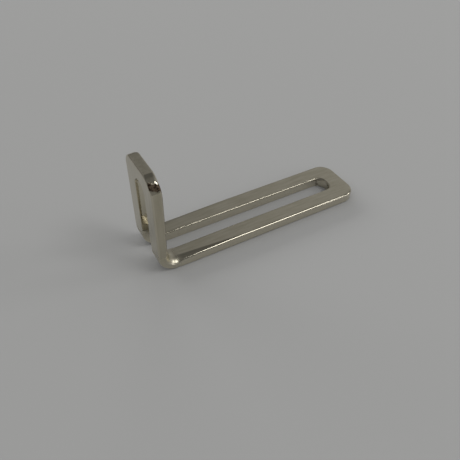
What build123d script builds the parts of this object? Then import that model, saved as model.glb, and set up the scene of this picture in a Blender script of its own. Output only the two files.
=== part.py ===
from build123d import *
import os
from math import cos, pi

os.makedirs("parts", exist_ok=True)

# Slotted angle bracket, one strip of steel folded square. All lengths in mm.
# The long leg lies flat, the short leg stands at the -X end, Y runs across the strip.
# Origin: bottom centre of the box round the part, on the middle plane of the strip.
strip_width = 15.0
strip_thickness = 2.65
long_leg = 60.4  # outer face of the short leg to the far end
short_leg = 27.6  # underside of the long leg to the top
inner_bend_radius = 2.1
far_corner = 3.7  # both outline corners of the long leg's end
top_front_corner = 4.6  # the short leg's end is trimmed rounder at its front corner
top_back_corner = 3.0
edge_radius = 0.4  # the strip's own edges, rolled round

# One slot runs from the short leg through the bend into the long leg.
slot_width = 5.4
slot_edge_radius = 0.15  # the punched edges are only broken
far_land = 5.0  # metal left past the slot's end on the long leg
top_land = 3.8  # metal left past the slot's end on the short leg

# In the bend each rail swells sideways at its inner face and draws in at its outer face.
bend_swell = 0.22
swell_runout = 1.5  # straight run on either leg over which the swell dies away
runout_stations = 3

bend_angle = 90
outer_bend_radius = inner_bend_radius + strip_thickness
leg_start = outer_bend_radius + swell_runout
half_width = strip_width / 2
half_slot = slot_width / 2
rail_middle = (half_slot + half_width) / 2


def leg_outline(length, land, front_corner, back_corner):
    # A strip from the run-out's end to the leg's end, rounded there, its slot open at the run-out.
    strip = Pos((leg_start + length) / 2, 0) * Rectangle(length - leg_start, strip_width)
    strip = fillet(strip.vertices().group_by(Axis.X)[-1].sort_by(Axis.Y)[0], front_corner)
    strip = fillet(strip.vertices().group_by(Axis.X)[-1].sort_by(Axis.Y)[-1], back_corner)
    slot_end = length - land - half_slot
    slot = Pos((leg_start + slot_end) / 2, 0) * Rectangle(slot_end - leg_start, slot_width)
    slot += Pos(slot_end, 0) * Circle(half_slot)
    return strip - slot


def round_edges(plate, picked, radius):
    # Rounds the picked edges of both faces, but not those where the rails join on.
    faces = plate.faces().sort_by(Axis.Z)
    rims = faces[0].edges() + faces[-1].edges()
    free = [edge for edge in rims if edge.center().X - leg_start > edge_radius]
    return fillet([edge for edge in free if picked(edge.center())], radius)


def leg(length, land, front_corner, back_corner):
    # The outline given its thickness, its slot's edges broken and its own edges rounded.
    def on_slot(middle):
        return abs(middle.Y) < rail_middle and middle.X < length - land / 2

    plate = extrude(leg_outline(length, land, front_corner, back_corner), strip_thickness)
    plate = round_edges(plate, on_slot, slot_edge_radius)
    return round_edges(plate, lambda middle: not on_slot(middle), edge_radius)


def rail_section(away, swell):
    # A rail cut across, away from the bend: wider by the swell at the inner face, narrower at the outer.
    plane = Plane((outer_bend_radius + away, 0, outer_bend_radius), x_dir=(0, 1, 0), z_dir=(-1, 0, 0))
    outline = Polyline(
        (half_slot - swell, inner_bend_radius),
        (half_width + swell, inner_bend_radius),
        (half_width - swell, outer_bend_radius),
        (half_slot + swell, outer_bend_radius),
        close=True,
    )
    section = make_face(outline)
    section = fillet(section.vertices().sort_by(Axis.X)[:2], slot_edge_radius)
    return plane * fillet(section.vertices().sort_by(Axis.X)[-2:], edge_radius)


def rail():
    # One section turned round the bend, and at both ends a run-out that fades back to the plain strip.
    bend_axis = Axis((outer_bend_radius, 0, outer_bend_radius), (0, 1, 0))
    bend = revolve(rail_section(0, bend_swell), bend_axis, bend_angle)
    fades = [i / runout_stations for i in range(runout_stations + 1)]
    sections = [rail_section(swell_runout * f, bend_swell * (1 + cos(pi * f)) / 2) for f in fades]
    runout = loft(sections)
    return bend + runout + mirror(runout, about=Plane((0, 0, 0), z_dir=(1, 0, -1)))


flat_leg = leg(long_leg, far_land, far_corner, far_corner)
upright = Plane((strip_thickness, 0, 0), x_dir=(0, 0, 1), z_dir=(-1, 0, 0))
upright_leg = upright * leg(short_leg, top_land, top_front_corner, top_back_corner)
near_rail = rail()
bracket = flat_leg + upright_leg + near_rail + mirror(near_rail, about=Plane.XZ)
bracket = Pos(-long_leg / 2, 0, 0) * bracket
bracket.label = "bracket"

export_step(bracket, "parts/bracket.step")
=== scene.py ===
import math
import bpy
import numpy as np
from mathutils import Matrix, Vector


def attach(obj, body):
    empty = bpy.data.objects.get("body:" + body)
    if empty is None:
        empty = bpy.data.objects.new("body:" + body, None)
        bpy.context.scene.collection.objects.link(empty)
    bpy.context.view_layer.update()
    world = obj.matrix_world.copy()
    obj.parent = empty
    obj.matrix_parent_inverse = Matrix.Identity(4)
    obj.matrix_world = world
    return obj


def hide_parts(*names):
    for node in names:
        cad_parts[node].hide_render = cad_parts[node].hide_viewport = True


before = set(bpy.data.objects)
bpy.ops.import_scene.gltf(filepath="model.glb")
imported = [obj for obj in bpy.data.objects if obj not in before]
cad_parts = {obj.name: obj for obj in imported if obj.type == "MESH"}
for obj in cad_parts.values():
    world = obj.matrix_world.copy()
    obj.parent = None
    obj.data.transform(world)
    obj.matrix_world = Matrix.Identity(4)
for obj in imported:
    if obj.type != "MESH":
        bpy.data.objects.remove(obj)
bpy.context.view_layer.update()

print("frame loaded:", ", ".join(sorted(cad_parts)))

mm = 0.001


def hexColour(text):
    # sRGB hex to linear, one channel at a time: c/12.92 up to 0.04045, else ((c + 0.055)/1.055)^2.4
    c = np.array([int(text[i:i + 2], 16) for i in (1, 3, 5)]) / 255
    linear = np.where(c <= 0.04045, c / 12.92, ((c + 0.055) / 1.055) ** 2.4)
    return (*linear.tolist(), 1.0)


def addNode(tree, kind, inputs=None, **settings):
    # one node: settings are its own properties, inputs are numbers or sockets to link
    node = tree.nodes.new(kind)
    for name, value in settings.items():
        setattr(node, name, value)
    for name, value in (inputs or {}).items():
        if isinstance(value, bpy.types.NodeSocket):
            tree.links.new(value, node.inputs[name])
        else:
            node.inputs[name].default_value = value
    return node


def newMaterial(name):
    # a material with an empty node tree
    material = bpy.data.materials.new(name)
    material.use_nodes = True
    material.node_tree.nodes.clear()
    return material, material.node_tree


# the bracket: one strip folded square, lengths in mm as the solid has them, angles in degrees
bracketForm = {
    "stripWidth": 15.0,
    "stripThickness": 2.65,
    "longLeg": 60.4,  # outer face of the short leg to the far end
    "shortLeg": 27.6,  # underside of the long leg to the top
    "innerBend": 2.1,
    "farCorners": (3.7, 3.7),  # front and back outline corners of the long leg's end
    "topCorners": (4.6, 3.0),  # and of the short leg's end
    "slotWidth": 5.4,
    "farLand": 5.0,  # metal left past the slot's end on the long leg
    "topLand": 3.8,  # and on the short leg
    # edges and cuts
    "edgeRadius": 0.4,  # the strip's own edges, rolled round
    "cornerEdges": (0.5, 0.85),  # inner edge where it is roundest, at the far corners and at the top ones
    "slotEdge": 0.15,  # the punched edges are only broken
    "slotInnerEdge": 0.22,  # a little more at the inner face, where the punch went in
    "slotEndEdge": 0.6,  # and drawn over where the slot's far end turns
    "endLean": 0.12,  # the cut ends fall back towards the outer face
    "slotDraft": 0.05,  # the slot opens this much a side towards the inner face
    # what bending did to the strip
    "bendSwell": 0.205,  # a rail's sides stand out at the inner face and draw in at the outer
    "swellRunout": 1.5,
    "bendRollWidth": 1.2,  # in the bend the inner face rounds off towards the strip's edges
    "bendRollSlope": 0.5,
    "legRollWidth": 1.5,  # and less on the legs, a facet that narrows to nothing over its reach
    "legRollSlope": 0.26,
    "legRollEase": 0.5,  # the facet's slope is reached over this
    "legRollReach": 20.0,
    "crownWidth": 1.6,  # the front rail falls off a little to its slot side too
    "crownSlope": 0.17,
    # where the finish changes, and where light and shade are painted
    "paintedDarkAt": 52.5,  # angle round the top front corner, middle of its painted dark reflection
    "paintedDarkHalf": 17.5,
    "paintedDarkSlant": 13.0,  # lower by this at the inner face than at the outer
    "slotPaintedDarkAt": 25.0,  # angle round the slot's far end from its back wall, a fainter painted dark reflection
    "slotPaintedDarkHalf": 35.0,
    "slotPaintedDarkShare": 0.3,
    "paintedShadeShortWallShare": 0.45,  # how far the short leg's sides take their darker tone, a painted shade
    "streakStretch": 7.0,  # streaks of the plating are this much longer than wide
    # the grid: rows sit closer near the edges
    "edgeSteps": 7,
    "cornerSteps": 16,
    "bendSteps": 32,
    "runoutSteps": 10,
    "capSideSteps": 5,  # from the slot's end to an outline corner
    "capEndSteps": 10,  # from one outline corner to the other
    "runStep": 0.8,  # along the straight runs
    "faceRows": (0, .02, .05, .09, .14, .19, .25, .32, .4, .5, .6, .68, .75, .81, .86, .91, .95, .98),
    "wallRows": (0, .06, .15, .3, .5, .7, .85, .94),
}


def bendSizes(form):
    # outer radius of the bend, and half the length of the strip's middle line round it
    outerBend = form["innerBend"] + form["stripThickness"]
    halfBend = (form["innerBend"] + form["stripThickness"] / 2) * math.pi / 4
    return outerBend, halfBend


def run(a, b, count):
    # even steps from a to b, without b
    return np.linspace(a, b, max(int(count), 1), endpoint=False)


def legEnd(form, eye, end, first, second):
    # outline of one end from its -v side round to its +v side: side, corner arc, end, corner arc, side;
    # each rim point is where the ray from the slot's eye to the outline crosses the slot's round end
    halfW, halfS = form["stripWidth"] / 2, form["slotWidth"] / 2
    arc = run(0, math.pi / 2, form["cornerSteps"])
    side = run(eye, end - first, form["capSideSteps"])
    otherSide = run(end - second, eye, form["capSideSteps"])
    across = run(-halfW + first, halfW - second, form["capEndSteps"])
    one = np.ones_like
    u = np.concatenate([side, end - first + first * np.sin(arc), end * one(across),
                        end - second + second * np.cos(arc), otherSide])
    v = np.concatenate([-halfW * one(side), -halfW + first - first * np.cos(arc), across,
                        halfW - second + second * np.sin(arc), halfW * one(otherSide)])
    nu = np.concatenate([0 * side, np.sin(arc), one(across), np.cos(arc), 0 * otherSide])
    nv = np.concatenate([-one(side), -np.cos(arc), 0 * across, np.sin(arc), one(otherSide)])
    ray = np.stack([u - eye, v], -1)
    ray /= np.linalg.norm(ray, axis=-1, keepdims=True)
    return np.stack([u, v], -1), np.stack([nu, nv], -1), np.array([eye, 0]) + halfS * ray, -ray


def flatWalk(form):
    # closed walk round the slot on the unfolded strip, u along it from the bend's middle and v across:
    # for each station a point on the outline, its outward normal, the facing point on the slot's rim
    # and the normal into the slot
    f = form
    halfW, halfS = f["stripWidth"] / 2, f["slotWidth"] / 2
    outerBend, halfBend = bendSizes(f)
    farEnd = halfBend + f["longLeg"] - outerBend
    topEnd = halfBend + f["shortLeg"] - outerBend
    farEye = farEnd - f["farLand"] - halfS
    topEye = topEnd - f["topLand"] - halfS
    plain = halfBend + f["swellRunout"]
    along = np.concatenate([
        run(-topEye, -plain, (topEye - plain) / f["runStep"]),
        run(-plain, -halfBend, f["runoutSteps"]),
        run(-halfBend, halfBend, f["bendSteps"]),
        run(halfBend, plain, f["runoutSteps"]),
        run(plain, farEye, (farEye - plain) / f["runStep"]),
    ])
    alongBack = np.concatenate([along[1:], [farEye]])[::-1]
    zero, one = np.zeros_like(along), np.ones_like(along)
    front = (np.stack([along, -halfW * one], -1), np.stack([zero, -one], -1),
             np.stack([along, -halfS * one], -1), np.stack([zero, one], -1))
    back = (np.stack([alongBack, halfW * one], -1), np.stack([zero, one], -1),
            np.stack([alongBack, halfS * one], -1), np.stack([zero, -one], -1))
    far = legEnd(f, farEye, farEnd, *f["farCorners"])
    top = tuple(-part for part in legEnd(f, topEye, topEnd, *f["topCorners"][::-1]))
    return [np.concatenate(parts) for parts in zip(front, far, back, top)]


def sectionRows(form):
    # one turn round the strip's section from the inner face at the slot: share of the way from rim to
    # outline, pull out to the outline's and the rim's wall, lift round an edge, and way down a wall
    a = run(0, math.pi / 2, form["edgeSteps"])
    face, wall = np.array(form["faceRows"]), np.array(form["wallRows"])
    rows = {
        "innerFace": (face, 0 * face, 0 * face, 0 * face + 1, 0 * face),
        "innerOutlineEdge": (0 * a + 1, np.sin(a), 0 * a, np.cos(a), 0 * a),
        "outlineWall": (0 * wall + 1, 0 * wall + 1, 0 * wall, 0 * wall, wall),
        "outerOutlineEdge": (0 * a + 1, np.cos(a), 0 * a, -np.sin(a), 0 * a + 1),
        "outerFace": (1 - face, 0 * face, 0 * face, 0 * face - 1, 0 * face + 1),
        "outerRimEdge": (0 * a, 0 * a, np.sin(a), -np.cos(a), 0 * a + 1),
        "rimWall": (0 * wall, 0 * wall, 0 * wall + 1, 0 * wall, 1 - wall),
        "innerRimEdge": (0 * a, 0 * a, np.cos(a), np.sin(a), 0 * a),
    }
    share, toOutline, toRim, lift, down = (np.concatenate(column) for column in zip(*rows.values()))
    kind = np.repeat(list(rows), [len(columns[0]) for columns in rows.values()])
    return share, toOutline, toRim, lift, down, kind


def flatStrip(form, walk, section):
    # point(i, k) = lerp(rim, outline, share) + edge rounding, at height w above the outer face;
    # also how far it lies in from the outline and from the slot, measured along the face
    outline, outNormal, rim, rimNormal = walk
    share, toOutline, toRim, lift, down, kind = section
    r, slotR, t = form["edgeRadius"], form["slotEdge"], form["stripThickness"]
    slotInnerR = form["slotInnerEdge"]
    # inner edge radius: plain on the sides and ends, largest some 35 degrees round a corner from the end
    cornering = 27 / 4 * outNormal[:, 0] ** 4 * outNormal[:, 1] ** 2
    cornerEdge = np.where(outline[:, 0] > 0, *form["cornerEdges"])
    inner = (r + (cornerEdge - r) * cornering)[:, None]
    # the slot's inner edge: largest halfway round either side of its far end
    turning = (2 * rimNormal[:, 0] * rimNormal[:, 1]) ** 2 * (rim[:, 0] > 0)
    slotInner = (slotInnerR + (form["slotEndEdge"] - slotInnerR) * turning)[:, None]

    onInner = np.isin(kind, ["innerFace", "innerOutlineEdge"])
    onInnerRim = kind == "innerRimEdge"
    low = np.where(np.isin(kind, ["outerRimEdge", "rimWall", "innerRimEdge"]), slotR, r)
    high = np.where(np.isin(kind, ["rimWall", "innerRimEdge"]), slotInner, inner)
    bow = np.where(onInner, inner, np.where(onInnerRim, slotInner, low))
    w = t - high - (t - high - low) * down + bow * lift

    pull = np.where(onInner, inner, r)
    draw = np.where(onInner | onInnerRim, slotInner, slotR)
    q, pull3, draw3 = share[:, None], pull[..., None], draw[..., None]
    outline3, outNormal3, rim3, rimNormal3 = (part[:, None] for part in walk)
    flat = (1 - q) * (rim3 - draw3 * rimNormal3) + draw3 * toRim[:, None] * rimNormal3
    flat = flat + q * (outline3 - pull3 * outNormal3) + pull3 * toOutline[:, None] * outNormal3
    # cut ends fall back by lean (1 - height/thickness)^2, the slot opens evenly to the inner face
    endLean = form["endLean"] * (1 - w / t) ** 2 * share * outNormal[:, :1] ** 2
    slotDraft = form["slotDraft"] * w / t * (1 - share)
    flat -= endLean[..., None] * outNormal3 + slotDraft[..., None] * rimNormal3

    across = np.linalg.norm((outline - r * outNormal) - (rim - slotR * rimNormal), axis=-1)[:, None]
    fromOutline = (1 - share) * across - pull * toOutline
    fromSlot = share * across - draw * toRim
    return flat[..., 0], flat[..., 1], w, fromOutline, fromSlot


def fall(slope, width, ease, distance, share=1.0):
    # 0 beyond share x width, then slope d^2 / (2 ease) up to d = ease, and straight on at that slope
    inside = np.clip(width * share - distance, 0, None) * (share > 0)
    return slope * np.where(inside < ease, inside ** 2 / (2 * ease), inside - ease / 2)


def foldStrip(form, u, v, w, fromOutline, fromSlot):
    # swell: full in the bend, a raised cosine over the run-outs, +1 at the inner face and -1 at the outer
    f = form
    t = f["stripThickness"]
    outerBend, halfBend = bendSizes(f)
    past = np.clip((np.abs(u) - halfBend) / f["swellRunout"], 0, 1)
    inBend = (1 + np.cos(math.pi * past)) / 2
    railMid = (f["stripWidth"] + f["slotWidth"]) / 4
    railHalf = (f["stripWidth"] - f["slotWidth"]) / 4
    v = v + np.sign(v) * f["bendSwell"] * inBend * (2 * w / t - 1) * (np.abs(v) - railMid) / railHalf

    # roll: the inner face falls towards its edges, and the walls share it down to the outer face
    dying = np.clip(1 - np.clip(np.abs(u) - halfBend, 0, None) / f["legRollReach"], 0, 1)
    roll = fall(f["legRollSlope"], f["legRollWidth"], f["legRollEase"], fromOutline, dying)
    roll += (v < 0) * fall(f["crownSlope"], f["crownWidth"], f["crownWidth"], fromSlot, dying)
    roll += inBend * fall(f["bendRollSlope"], f["bendRollWidth"], f["bendRollWidth"], fromOutline)
    w = w - roll * w / t

    # fold: a quarter turn about the bend's axis, the legs running straight on from it
    turn = np.clip((halfBend - u) / (2 * halfBend), 0, 1) * math.pi / 2
    rho = outerBend - w
    x = outerBend - rho * np.sin(turn) + np.clip(u - halfBend, 0, None)
    z = outerBend - rho * np.cos(turn) + np.clip(-u - halfBend, 0, None)
    return np.stack([x - f["longLeg"] / 2, v, z], -1) * mm, w, inBend


def surfaceMarks(form, walk, section, u, w, inBend):
    # shares from 0 to 1 that tell the material where it is: on a broken edge, on the long leg's sides
    # and the slot's flat walls (painted lighter reflection), on the short leg's sides (painted shade), in
    # the bend, under a painted dark reflection; and the streaks' place
    outline, outNormal, rim, rimNormal = walk
    _, toOutline, toRim, _, _, kind = section
    halfBend = bendSizes(form)[1]
    onLong = np.clip((u + halfBend) / (2 * halfBend), 0, 1)
    broken = np.maximum(toOutline * (toOutline < 1), toRim * (toRim < 1))
    onSide = toOutline == 1
    onSlotWall = (kind == "rimWall") * (rimNormal ** 4).sum(-1)[:, None]
    onShortSide = onSide * (1 - onLong) * outNormal[:, 1:] ** 4

    # painted dark reflection: 1 in the middle, falling evenly to 0 at half its width either way round
    cornerTurn = np.degrees(np.arctan2(np.abs(outNormal[:, 1]), np.abs(outNormal[:, 0])))[:, None]
    offMiddle = cornerTurn - form["paintedDarkAt"] - form["paintedDarkSlant"] * (w / form["stripThickness"] - 0.5)
    topFront = ((outline[:, 0] < 0) & (outline[:, 1] < 0))[:, None]
    inward = np.isin(kind, ["innerOutlineEdge", "outlineWall"])
    cornerRows = topFront * np.where(kind == "outerOutlineEdge", toOutline, inward)
    paintedDarkReflection = np.clip(1 - np.abs(offMiddle) / form["paintedDarkHalf"], 0, 1) * cornerRows
    rimTurn = np.degrees(np.arctan2(np.abs(rimNormal[:, 0]), np.abs(rimNormal[:, 1])))[:, None]
    slotPaintedDark = np.clip(1 - np.abs(rimTurn - form["slotPaintedDarkAt"]) / form["slotPaintedDarkHalf"], 0, 1)
    farBack = ((rim[:, 0] > 0) & (rim[:, 1] > 0))[:, None]
    slotRows = farBack * np.isin(kind, ["rimWall", "innerRimEdge"])
    return {
        "onEdge": np.broadcast_to(broken, u.shape),
        # painted reflection: the long leg's sides and the slot's flat walls take a lighter tone
        "onPaintedLightWall": onSide * onLong + onSlotWall * (1 + onLong) / 2,
        # painted shade: the short leg's sides take a darker tone
        "onPaintedShadeShortWall": onShortSide * form["paintedShadeShortWallShare"],
        "inBend": inBend,
        "onPaintedDarkReflection": paintedDarkReflection + form["slotPaintedDarkShare"] * slotPaintedDark * slotRows,
        "along": u * mm / form["streakStretch"],
        "depth": w * mm,
    }


def foldedStrip(form):
    # the section carried round the walk, folded, with its marks
    walk, section = flatWalk(form), sectionRows(form)
    u, v, w, fromOutline, fromSlot = flatStrip(form, walk, section)
    points, w, inBend = foldStrip(form, u, v, w, fromOutline, fromSlot)
    return points, surfaceMarks(form, walk, section, u, w, inBend)


def gridMesh(name, points, marks):
    # closed both ways: quad (i, k) joins rows i, i+1 and columns k, k+1, the last to the first;
    # turned round if the volume comes out negative, so that faces point outwards
    rows, columns = points.shape[:2]
    ids = np.arange(rows * columns).reshape(rows, columns)
    right, below = np.roll(ids, -1, 1), np.roll(ids, -1, 0)
    quads = np.stack([ids, below, np.roll(below, -1, 1), right], -1).reshape(-1, 4)
    flat = points.reshape(-1, 3)
    a, b, c, d = (flat[quads[:, corner]] for corner in range(4))
    volume = (np.cross(a, b) * c).sum() + (np.cross(a, c) * d).sum()
    if volume < 0:
        quads = quads[:, ::-1]
    mesh = bpy.data.meshes.new(name)
    mesh.from_pydata(flat.tolist(), [], quads.tolist())
    mesh.polygons.foreach_set("use_smooth", np.ones(len(quads), bool))
    for key, value in marks.items():
        layer = mesh.attributes.new(key, "FLOAT", "POINT")
        layer.data.foreach_set("value", np.ascontiguousarray(value, np.float32).ravel())
    mesh.update()
    return mesh


points, marks = foldedStrip(bracketForm)
bracketMesh = gridMesh("folded_bracket", points, marks)
bracket = bpy.data.objects.new("folded_bracket", bracketMesh)
bpy.context.scene.collection.objects.link(bracket)
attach(bracket, "root")
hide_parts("bracket")
print("bracket meshed:", len(bracketMesh.polygons), "faces")

# nickel plating on cold-rolled steel, tumbled: bright and a little warm, a mirror with faint streaks
nickelFinish = {
    "bright": "#cac4b2",
    "dull": "#bbb5a1",
    "edge": "#cac4b3",
    "wall": "#dad4c2",  # painted reflection: the long leg's sides and the slot's walls made lighter
    "shortWallPaintedShade": "#b2ac98",  # painted shade: the short leg's sides made darker
    "paintedDarkReflection": "#6c5f50",  # painted dark reflection on the top front corner and in the slot's far end
    "paintedDarkReflectionDeep": "#2a231c",  # mottled with this
    "roughness": 0.07,
    "roughSpread": 0.04,  # duller streaks are rougher by this
    "bendRoughness": 0.32,  # the plating is dulled where the strip was bent
    "paintedDarkReflectionRoughness": 0.6,
    # noises: size in mm, detail, roughness
    "streak": (0.9, 4.0, 0.55),  # drift of tone along the rolled strip, size across it
    "grain": (0.5, 3.0, 0.6),  # the plating's orange peel, coarser than life so that it shows
    "ragged": (0.7, 3.0, 0.5),  # the painted dark reflection's rim
    "grainDepth": 0.0012,  # mm
    "toneSpan": (0.32, 0.68),  # streak noise from dull to bright
    "roughSpan": (0.3, 0.7),  # and from rough to smooth
    "paintedDarkReflectionSpan": (0.72, 0.92),  # painted dark mark plus ragged noise, from none to full
    "mottleSpan": (0.42, 0.58),  # grain noise, from the painted dark reflection's own tone to its deep one
}


def nickelPlatedSteel(finish):
    # colour: dull to bright by the streaks, then each mark's tone over it, the sides' painted reflection
    # and painted shade among them, the painted dark reflection last; roughness: down with the streaks, up
    # in the bend and under the painted dark reflection; the grain is a bump
    material, tree = newMaterial("nickel_plated_steel")
    place = addNode(tree, "ShaderNodeTexCoord").outputs["Object"]
    names = ("along", "depth", "onPaintedShadeShortWall", "onPaintedLightWall", "onEdge", "inBend", "onPaintedDarkReflection")
    mark = {n: addNode(tree, "ShaderNodeAttribute", attribute_name=n).outputs["Fac"] for n in names}
    across = addNode(tree, "ShaderNodeSeparateXYZ", {"Vector": place}).outputs["Y"]
    onStrip = addNode(tree, "ShaderNodeCombineXYZ", {"X": mark["along"], "Y": across, "Z": mark["depth"]})
    noise = {}
    for name, vector in (("streak", onStrip.outputs["Vector"]), ("grain", place), ("ragged", place)):
        size, detail, roughness = finish[name]
        noise[name] = addNode(tree, "ShaderNodeTexNoise", {
            "Vector": vector, "Scale": 1 / (size * mm), "Detail": detail, "Roughness": roughness,
        }).outputs["Fac"]

    drift = addNode(tree, "ShaderNodeMapRange", {
        "Value": noise["streak"], "From Min": finish["toneSpan"][0], "From Max": finish["toneSpan"][1],
    }).outputs["Result"]
    rough = addNode(tree, "ShaderNodeMapRange", {
        "Value": noise["streak"], "From Min": finish["roughSpan"][0], "From Max": finish["roughSpan"][1],
        "To Min": finish["roughness"] + finish["roughSpread"], "To Max": finish["roughness"],
    }).outputs["Result"]
    spread = addNode(tree, "ShaderNodeMath", {0: noise["ragged"], 1: mark["onPaintedDarkReflection"]}, operation="ADD")
    paintedDark = addNode(tree, "ShaderNodeMapRange", {
        "Value": spread.outputs[0], "From Min": finish["paintedDarkReflectionSpan"][0], "From Max": finish["paintedDarkReflectionSpan"][1],
    }).outputs["Result"]
    mottle = addNode(tree, "ShaderNodeMapRange", {
        "Value": noise["grain"], "From Min": finish["mottleSpan"][0], "From Max": finish["mottleSpan"][1],
    }).outputs["Result"]

    # Mix sockets: 0 the share, 2 and 3 numbers, 6 and 7 colours; it gives a number at 0, a colour at 2
    tones = {name: hexColour(finish[name]) for name in ("dull", "bright", "shortWallPaintedShade", "wall", "edge")}
    # painted dark reflection, mottled with a deeper tone
    tones["paintedDarkReflection"] = addNode(tree, "ShaderNodeMix", {
        0: mottle, 6: hexColour(finish["paintedDarkReflection"]), 7: hexColour(finish["paintedDarkReflectionDeep"]),
    }, data_type="RGBA").outputs[2]
    colour = tones["dull"]
    # over the streaks: painted lighter reflection on the long leg's sides, painted shade on the short
    # leg's, painted dark reflection last
    for share, name in ((drift, "bright"), (mark["onPaintedShadeShortWall"], "shortWallPaintedShade"), (mark["onPaintedLightWall"], "wall"),
                        (mark["onEdge"], "edge"), (paintedDark, "paintedDarkReflection")):
        colour = addNode(tree, "ShaderNodeMix", {0: share, 6: colour, 7: tones[name]},
                         data_type="RGBA").outputs[2]
    for share, value in ((mark["inBend"], "bendRoughness"), (paintedDark, "paintedDarkReflectionRoughness")):
        rough = addNode(tree, "ShaderNodeMix", {0: share, 2: rough, 3: finish[value]}).outputs[0]
    bump = addNode(tree, "ShaderNodeBump", {
        "Height": noise["grain"], "Distance": finish["grainDepth"] * mm, "Strength": 1.0,
    })
    shader = addNode(tree, "ShaderNodeBsdfPrincipled", {
        "Base Color": colour, "Metallic": 1.0, "Roughness": rough, "Normal": bump.outputs["Normal"],
    })
    addNode(tree, "ShaderNodeOutputMaterial", {"Surface": shader.outputs["BSDF"]})
    return material


bracketMesh.materials.append(nickelPlatedSteel(nickelFinish))
print("nickel plating done")

# plain matt floor
floorForm = {"reach": 4.0, "colour": "#a2a2a1", "roughness": 0.85, "gloss": 0.0}
floorMesh = bpy.data.meshes.new("floor")
reach = floorForm["reach"]
floorCorners = [(-reach, -reach, 0), (reach, -reach, 0), (reach, reach, 0), (-reach, reach, 0)]
floorMesh.from_pydata(floorCorners, [], [(0, 1, 2, 3)])
floor = bpy.data.objects.new("floor", floorMesh)
bpy.context.scene.collection.objects.link(floor)
floorMaterial, floorTree = newMaterial("matt_grey_floor")
floorShader = addNode(floorTree, "ShaderNodeBsdfPrincipled", {
    "Base Color": hexColour(floorForm["colour"]), "Roughness": floorForm["roughness"],
    "Specular IOR Level": floorForm["gloss"],
})
addNode(floorTree, "ShaderNodeOutputMaterial", {"Surface": floorShader.outputs["BSDF"]})
floorMesh.materials.append(floorMaterial)
print("floor laid")

# soft lamps: the way to each from the origin, distance and size in metres, power in watts, turn in degrees
softboxes = {
    "front_lamp": {"way": (0.4188, -0.4365, 0.7962), "distance": 1.0, "size": (0.40, 0.30), "power": 1.6,
                   "turn": -36.7},
    "side_window": {"way": (0.815, -0.282, 0.506), "distance": 1.0, "size": (0.30, 0.30), "power": 0.95},
    "low_card": {"way": (0.66, -0.735, 0.145), "distance": 1.0, "size": (0.35, 0.20), "power": 0.55},
    "back_window": {"way": (-0.05, 1.0, 0.30), "distance": 1.4, "size": (2.2, 0.45), "power": 13.5,
                    "mirrored": False},  # the room's bands stand for it in the metal
}


def softbox(name, way, distance, size, power, turn=0.0, mirrored=True):
    # an oval lamp at way x distance, facing the origin, turned about its own axis
    light = bpy.data.lights.new(name, "AREA")
    light.shape = "ELLIPSE"
    light.size, light.size_y = size
    light.energy = power
    lamp = bpy.data.objects.new(name, light)
    toward = Vector(way).normalized()
    facing = toward.to_track_quat("Z", "Y").to_matrix().to_4x4()
    spin = Matrix.Rotation(math.radians(turn), 4, "Z")
    lamp.matrix_world = Matrix.Translation(toward * distance) @ facing @ spin
    lamp.visible_camera = False
    lamp.visible_glossy = mirrored
    bpy.context.scene.collection.objects.link(lamp)


for name, plan in softboxes.items():
    softbox(name, **plan)

# the room: what the metal mirrors, what lights the rest evenly, and what the camera sees past the floor
roomLook = {
    # brightness by the angle from the back horizon (0) over the top to the front (180)
    "bands": ((0, 0.21), (30, 0.265), (38, 0.29), (50.5, 0.30), (54, 0.155), (76, 0.14), (86, 0.20),
              (92, 0.21), (112, 0.20), (120, 0.15), (150, 0.16), (163, 0.25), (180, 0.28)),
    "evenAt": 0.40,  # the way along +X at which the bands are as written
    "rightGain": 1.1,  # brighter to the right of it by this
    "leastSide": 0.8,  # and no darker than this to the left
    "dome": 0.585,
    "seen": "#a4a4a3",
}


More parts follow.
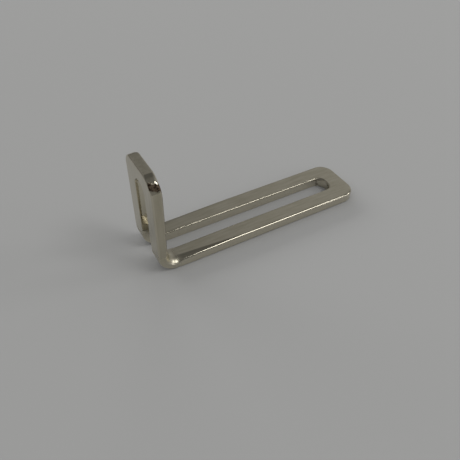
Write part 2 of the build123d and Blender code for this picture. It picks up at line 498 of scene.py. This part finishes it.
def studioWorld(look):
    # mirrored = band at atan2(z, y) of the ray x side share by its x; camera and other rays get plain tones
    world = bpy.data.worlds.new("studio")
    world.use_nodes = True
    tree = world.node_tree
    tree.nodes.clear()
    ray = addNode(tree, "ShaderNodeTexCoord").outputs["Generated"]
    way = addNode(tree, "ShaderNodeSeparateXYZ", {"Vector": ray}).outputs
    over = addNode(tree, "ShaderNodeMath", {0: way["Z"], 1: way["Y"]}, operation="ARCTAN2")
    share = addNode(tree, "ShaderNodeMath", {0: over.outputs[0], 1: math.pi}, operation="DIVIDE")
    bands = addNode(tree, "ShaderNodeValToRGB", {"Fac": share.outputs[0]})
    stops = bands.color_ramp.elements  # a new ramp has its two end stops
    for angle, level in look["bands"][1:-1]:
        stops.new(angle / 180).color = (level, level, level, 1)
    for stop in (0, -1):
        level = look["bands"][stop][1]
        stops[stop].color = (level, level, level, 1)
    gain = look["rightGain"]
    aside = addNode(tree, "ShaderNodeMapRange", {
        "Value": way["X"],
        "From Min": look["evenAt"] - (1 - look["leastSide"]) / gain, "From Max": 1.0,
        "To Min": look["leastSide"], "To Max": 1 + gain * (1 - look["evenAt"]),
    })
    room = addNode(tree, "ShaderNodeMath", {0: bands.outputs["Color"], 1: aside.outputs["Result"]},
                   operation="MULTIPLY")
    white = (1, 1, 1, 1)
    mirrored = addNode(tree, "ShaderNodeBackground", {"Color": white, "Strength": room.outputs[0]})
    dome = addNode(tree, "ShaderNodeBackground", {"Color": white, "Strength": look["dome"]})
    seen = addNode(tree, "ShaderNodeBackground", {"Color": hexColour(look["seen"]), "Strength": 1.0})
    path = addNode(tree, "ShaderNodeLightPath").outputs
    lit = addNode(tree, "ShaderNodeMixShader", {
        0: path["Is Glossy Ray"], 1: dome.outputs[0], 2: mirrored.outputs[0]})
    shown = addNode(tree, "ShaderNodeMixShader", {
        0: path["Is Camera Ray"], 1: lit.outputs[0], 2: seen.outputs[0]})
    addNode(tree, "ShaderNodeOutputWorld", {"Surface": shown.outputs[0]})
    return world


bpy.context.scene.world = studioWorld(roomLook)
print("light set:", ", ".join(softboxes))

# camera as the photograph was taken: angles in degrees, lengths in mm, focal length in pixels of its frame
cameraPlace = {
    "azimuth": -29.691,
    "elevation": 43.073,
    "roll": 0.410,
    "target": (-10.067, -5.891, 4.5),
    "distance": 130.576,
    "focalPixels": 514.22,
    "framePixels": 460,
    "sensorWidth": 36.0,
    "clipStart": 5.0,
}


def photoCamera(place):
    # looks from target + distance x back, where back is the way out at the two angles; rolled about it
    az, el, roll = (math.radians(place[angle]) for angle in ("azimuth", "elevation", "roll"))
    back = Vector((math.sin(az) * math.cos(el), -math.cos(az) * math.cos(el), math.sin(el)))
    sideways = (-back).cross(Vector((0, 0, 1))).normalized()
    upward = sideways.cross(-back)
    right = math.cos(roll) * sideways + math.sin(roll) * upward
    up = math.cos(roll) * upward - math.sin(roll) * sideways
    data = bpy.data.cameras.new("camera")
    data.sensor_width = place["sensorWidth"]
    data.lens = place["focalPixels"] * place["sensorWidth"] / place["framePixels"]
    data.clip_start = place["clipStart"] * mm
    camera = bpy.data.objects.new("camera", data)
    stand = (Vector(place["target"]) + back * place["distance"]) * mm
    camera.matrix_world = Matrix.Translation(stand) @ Matrix((right, up, back)).transposed().to_4x4()
    bpy.context.scene.collection.objects.link(camera)
    return camera


bpy.context.scene.camera = photoCamera(cameraPlace)
bpy.context.scene.view_settings.view_transform = "Standard"
print("camera set")
